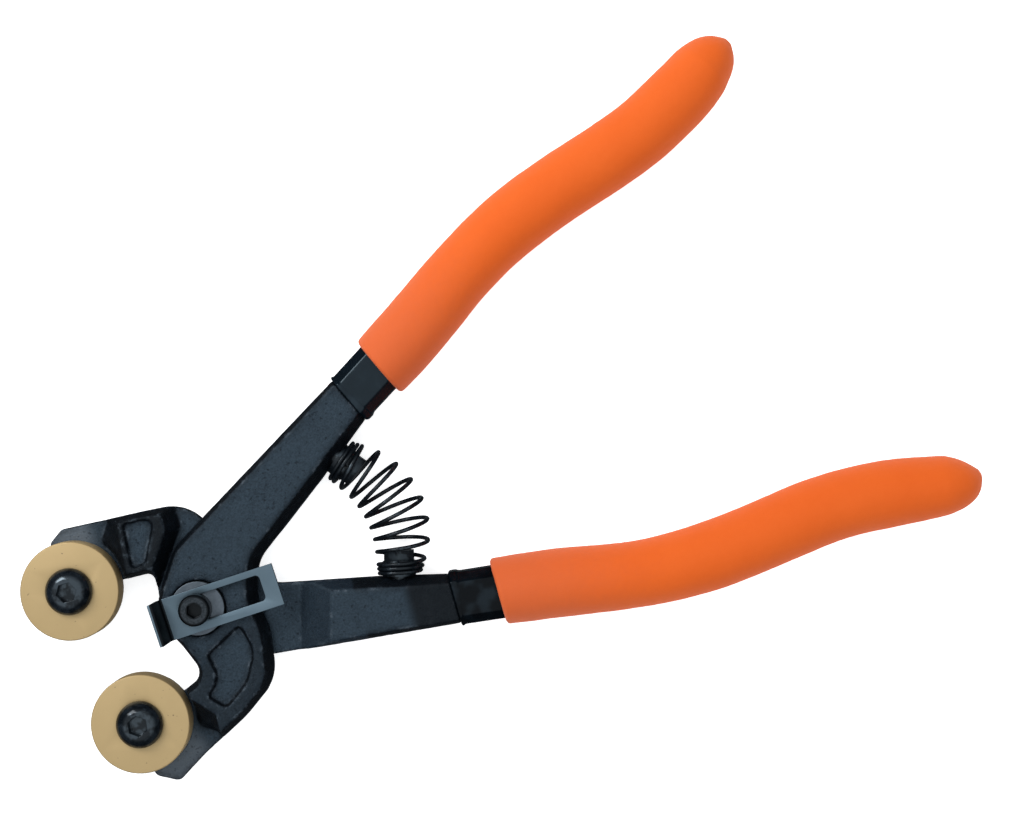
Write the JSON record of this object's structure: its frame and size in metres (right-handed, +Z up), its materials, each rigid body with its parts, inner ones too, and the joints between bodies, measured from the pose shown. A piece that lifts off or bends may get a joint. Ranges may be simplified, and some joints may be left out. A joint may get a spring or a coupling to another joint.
{
  "type": "wheeled glass nippers",
  "caption": "Mosaic glass nippers: carbide cutting wheels on lapped levers, a slotted gauge plate at the pivot, a bowed return spring and foam grips.",
  "frame": {"origin": "on the pivot's axis, at the level the tool lies on, which is the flat end of the pivot's bolt and nut", "axes": "+X from the pivot to the handles, +Y to the front lever's handle, +Z up, to the side the cutting wheels are on"},
  "size_m": [0.2032, 0.1215, 0.0243],
  "materials": {
    "lever_paint": "satin black paint over a sandy casting",
    "black_screws": "glossy black oxide",
    "pivot_steel": "dark satin",
    "gauge_steel": "smooth satin",
    "carbide": "fine ground, pale gold",
    "spring_steel": "black oxide",
    "liner_dip": "glossy dipped vinyl",
    "grip_foam": "matte closed foam"
  },
  "bodies": {
    "front_half": {"front_lever": "lever_paint", "front_liner": "liner_dip", "front_grip": "grip_foam", "front_wheel_screw": "black_screws", "front_spring_stud": "black_screws", "pivot_bolt": "pivot_steel", "pivot_washer": "pivot_steel", "pivot_nut": "pivot_steel", "return_spring": "spring_steel"},
    "rear_half": {"rear_lever": "lever_paint", "rear_liner": "liner_dip", "rear_grip": "grip_foam", "rear_wheel_screw": "black_screws", "rear_spring_stud": "black_screws"},
    "front_cutter": {"front_wheel": "carbide"},
    "rear_cutter": {"rear_wheel": "carbide"},
    "gauge_swivel": {"stop_screw": "black_screws"},
    "gauge": {"stop_plate": "gauge_steel"}
  },
  "joints": [
    {"name": "handle_pivot", "type": "hinge", "parent": "front_half", "child": "rear_half", "pos_m": [0, 0, 0.0075], "axis": [0, 0, 1], "range_deg": [0, 22], "stiffness_Nm_per_rad": 1.2, "springref_deg": -14.32, "deforming": ["return_spring"]},
    {"name": "front_wheel_turn", "type": "hinge", "parent": "front_half", "child": "front_cutter", "pos_m": [-0.02334, -0.01673, 0.01], "axis": [0, 0, 1], "continuous": true},
    {"name": "rear_wheel_turn", "type": "hinge", "parent": "rear_half", "child": "rear_cutter", "pos_m": [-0.02334, 0.01673, 0.01], "axis": [0, 0, 1], "continuous": true},
    {"name": "gauge_turn", "type": "hinge", "parent": "front_half", "child": "gauge_swivel", "pos_m": [0, 0, 0.0138], "axis": [0, 0, 1], "continuous": true},
    {"name": "gauge_slide", "type": "slide", "parent": "gauge_swivel", "child": "gauge", "axis": [-0.9854, 0.1702, 0], "range_m": [0, 0.0124]}
  ]
}
